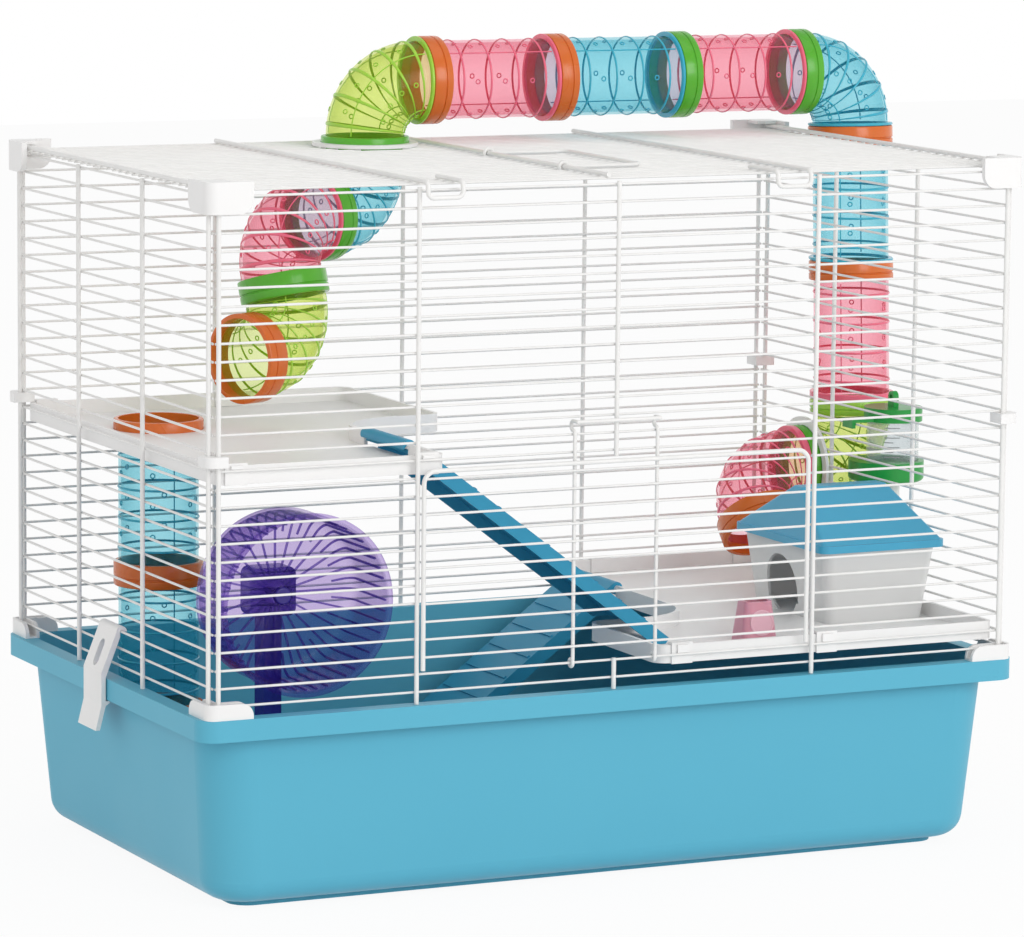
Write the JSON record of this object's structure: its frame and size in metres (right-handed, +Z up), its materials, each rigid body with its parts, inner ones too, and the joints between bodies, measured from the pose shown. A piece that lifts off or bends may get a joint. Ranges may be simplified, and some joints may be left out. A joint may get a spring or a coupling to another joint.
{
  "type": "rodent cage",
  "caption": "Wire-walled rodent cage on a plastic tray, with drop door, carry handle, platforms, ramps, wheel, house, dish, water bottle and a run of clear coloured tubes.",
  "frame": {"origin": "middle of the flat foot under the tray, on the surface that the cage stands on", "axes": "+Z up, +X along the cage towards the end with the outside drop tube, -Y towards the door"},
  "size_m": [0.6499, 0.359, 0.5301],
  "materials": {
    "tray_blue": "moulded, satin",
    "white_wire": "white powder coat",
    "white_plastic": "moulded, satin",
    "ramp_blue": "moulded, satin",
    "wheel_purple": "moulded, see-through",
    "house_white": "moulded, satin",
    "tube_lime": "moulded, see-through",
    "tube_pink": "moulded, see-through",
    "tube_cyan": "moulded, see-through",
    "ring_orange": "moulded, glossy",
    "ring_green": "moulded, glossy",
    "bottle_clear": "blown, clear",
    "bottle_green": "moulded, glossy",
    "dish_pink": "moulded, glossy",
    "steel": "drawn"
  },
  "bodies": {
    "cage": {"base_tray": "tray_blue", "front_wire_panel": "white_wire", "back_wire_panel": "white_wire", "left_wire_panel": "white_wire", "right_wire_panel": "white_wire", "roof_wire_panel": "white_wire", "roof_corner_caps": "white_plastic", "corner_clips": "white_plastic", "base_corner_feet": "white_plastic", "upper_platform": "white_plastic", "lower_platform": "white_plastic", "upper_platform_clips": "white_plastic", "lower_platform_clips": "white_plastic", "wheel_axle": "steel", "wheel_stand": "wheel_purple", "house_body": "house_white", "bottle_body": "bottle_clear", "bottle_cap": "bottle_green", "bottle_boss": "white_plastic", "drinking_tube": "steel", "bottle_holder": "bottle_green", "bridge_left_elbow": "tube_lime", "bridge_left_tube": "tube_pink", "bridge_middle_tube": "tube_cyan", "bridge_right_tube": "tube_pink", "bridge_right_elbow": "tube_cyan", "drop_upper_tube": "tube_cyan", "drop_lower_tube": "tube_pink", "drop_elbow": "tube_lime", "landing_elbow": "tube_pink", "hanging_first_elbow": "tube_cyan", "hanging_second_elbow": "tube_pink", "hanging_third_elbow": "tube_lime", "column_upper_tube": "tube_cyan", "column_lower_tube": "tube_cyan", "column_foot_elbow": "tube_cyan", "bridge_orange_rings": "ring_orange", "bridge_green_rings": "ring_green", "drop_rings": "ring_orange", "drop_end_ring": "tube_lime", "roof_ring": "ring_green", "wall_ring": "ring_green", "landing_end_ring": "ring_orange", "hanging_rings": "ring_green", "hanging_end_ring": "ring_orange", "column_rings": "ring_orange", "roof_tube_plate": "white_plastic", "wall_tube_plate": "white_plastic"},
    "door": {"front_door": "white_wire"},
    "left_latch": {"left_latch": "white_plastic"},
    "right_latch": {"right_latch": "white_plastic"},
    "wheel": {"wheel_drum": "wheel_purple", "wheel_ribs": "wheel_purple", "wheel_hub_cap": "wheel_purple"},
    "handle": {"carry_handle": "white_wire"},
    "house_roof": {"house_roof": "ramp_blue"},
    "upper_ramp": {"upper_ramp": "ramp_blue"},
    "lower_ramp": {"lower_ramp": "ramp_blue"},
    "dish": {"feeding_dish": "dish_pink"},
    "spout_ball": {"spout_ball": "steel"}
  },
  "joints": [
    {"name": "door_hinge", "type": "hinge", "parent": "cage", "child": "door", "pos_m": [-0.006, -0.17018, 0.14634], "axis": [1, 0, 0], "range_deg": [0, 130]},
    {"name": "left_latch_hinge", "type": "hinge", "parent": "cage", "child": "left_latch", "pos_m": [-0.28218, 0.002, 0.15768], "axis": [0, 1, 0], "range_deg": [0, 60]},
    {"name": "right_latch_hinge", "type": "hinge", "parent": "cage", "child": "right_latch", "pos_m": [0.28218, 0.002, 0.15768], "axis": [0, -1, 0], "range_deg": [0, 60]},
    {"name": "wheel_spin", "type": "hinge", "parent": "cage", "child": "wheel", "pos_m": [-0.201, -0.073, 0.1875], "axis": [0, 1, 0], "continuous": true},
    {"name": "handle_hinge", "type": "hinge", "parent": "cage", "child": "handle", "pos_m": [-0.011, -0.04536, 0.45814], "axis": [0, -1, 0], "range_deg": [0, 90]},
    {"name": "house_roof_lift", "type": "slide", "parent": "cage", "child": "house_roof", "axis": [0, 0, 1], "range_m": [0, 0.06]},
    {"name": "upper_ramp_hinge", "type": "hinge", "parent": "cage", "child": "upper_ramp", "pos_m": [-0.12523, -0.082, 0.28342], "axis": [0, -1, 0], "range_deg": [0, 35]},
    {"name": "lower_ramp_hinge", "type": "hinge", "parent": "cage", "child": "lower_ramp", "pos_m": [0.11123, 0.09, 0.15034], "axis": [0, 1, 0], "range_deg": [0, 35]},
    {"name": "dish_lift", "type": "slide", "parent": "cage", "child": "dish", "axis": [0, 0, 1], "range_m": [0, 0.06]},
    {"name": "ball_push", "type": "slide", "parent": "cage", "child": "spout_ball", "axis": [1, 0, 0], "range_m": [0, 0.0005]}
  ]
}
